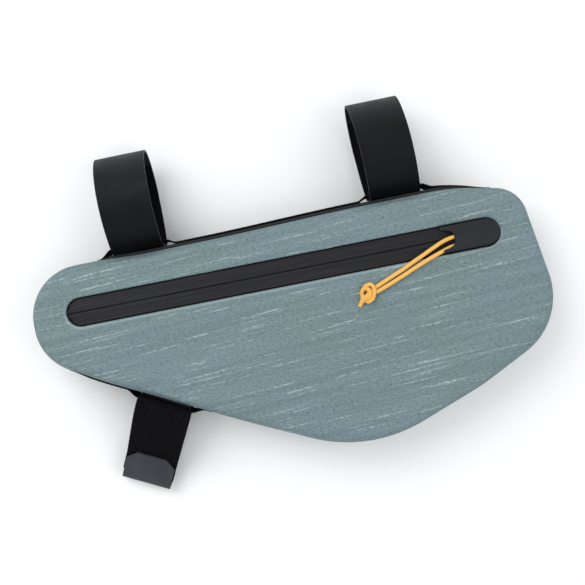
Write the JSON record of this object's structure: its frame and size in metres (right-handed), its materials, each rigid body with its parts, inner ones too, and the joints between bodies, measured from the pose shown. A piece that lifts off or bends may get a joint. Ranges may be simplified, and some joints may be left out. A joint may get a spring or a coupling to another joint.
{
  "type": "bicycle frame bag",
  "caption": "Wedge-shaped fabric frame bag for a bicycle with a coated side zip, zip garage, knotted pull cord, and hook-and-loop strap loops under sewn webbing.",
  "frame": {"origin": "on the floor under the middle of the bag, on the flat back panel's underside", "axes": "+X runs along the zip from the nose to the rear, +Y points towards the top straps, +Z is the front panel's outward normal"},
  "size_m": [0.3846, 0.261, 0.0626],
  "materials": {
    "fabric": "matte coated woven fabric with a fine slub",
    "coated_tape": "matte coated zip tape with fine ribs",
    "garage_rubber": "smooth moulded rubber",
    "slider_metal": "dark painted die-cast metal",
    "cord": "braided cord",
    "webbing": "black woven webbing",
    "base_strip": "grey backing strip",
    "strap_rubber": "satin coated strap",
    "strap_pile": "black loop pile"
  },
  "bodies": {
    "root": {"front_panel": "fabric", "gusset": "fabric", "back_panel": "fabric", "zip_tape_upper": "coated_tape", "zip_tape_lower": "coated_tape", "zip_garage": "garage_rubber", "zip_slider": "slider_metal", "pull_cord_upper": "cord", "pull_cord_lower": "cord", "pull_knot": "cord", "top_base_strip": "base_strip", "top_webbing": "webbing", "down_webbing": "webbing", "nose_strap": "strap_rubber", "nose_strap_pile": "strap_pile", "tail_strap": "strap_rubber", "tail_strap_pile": "strap_pile", "down_strap": "strap_rubber", "down_strap_pile": "strap_pile"}
  },
  "joints": []
}
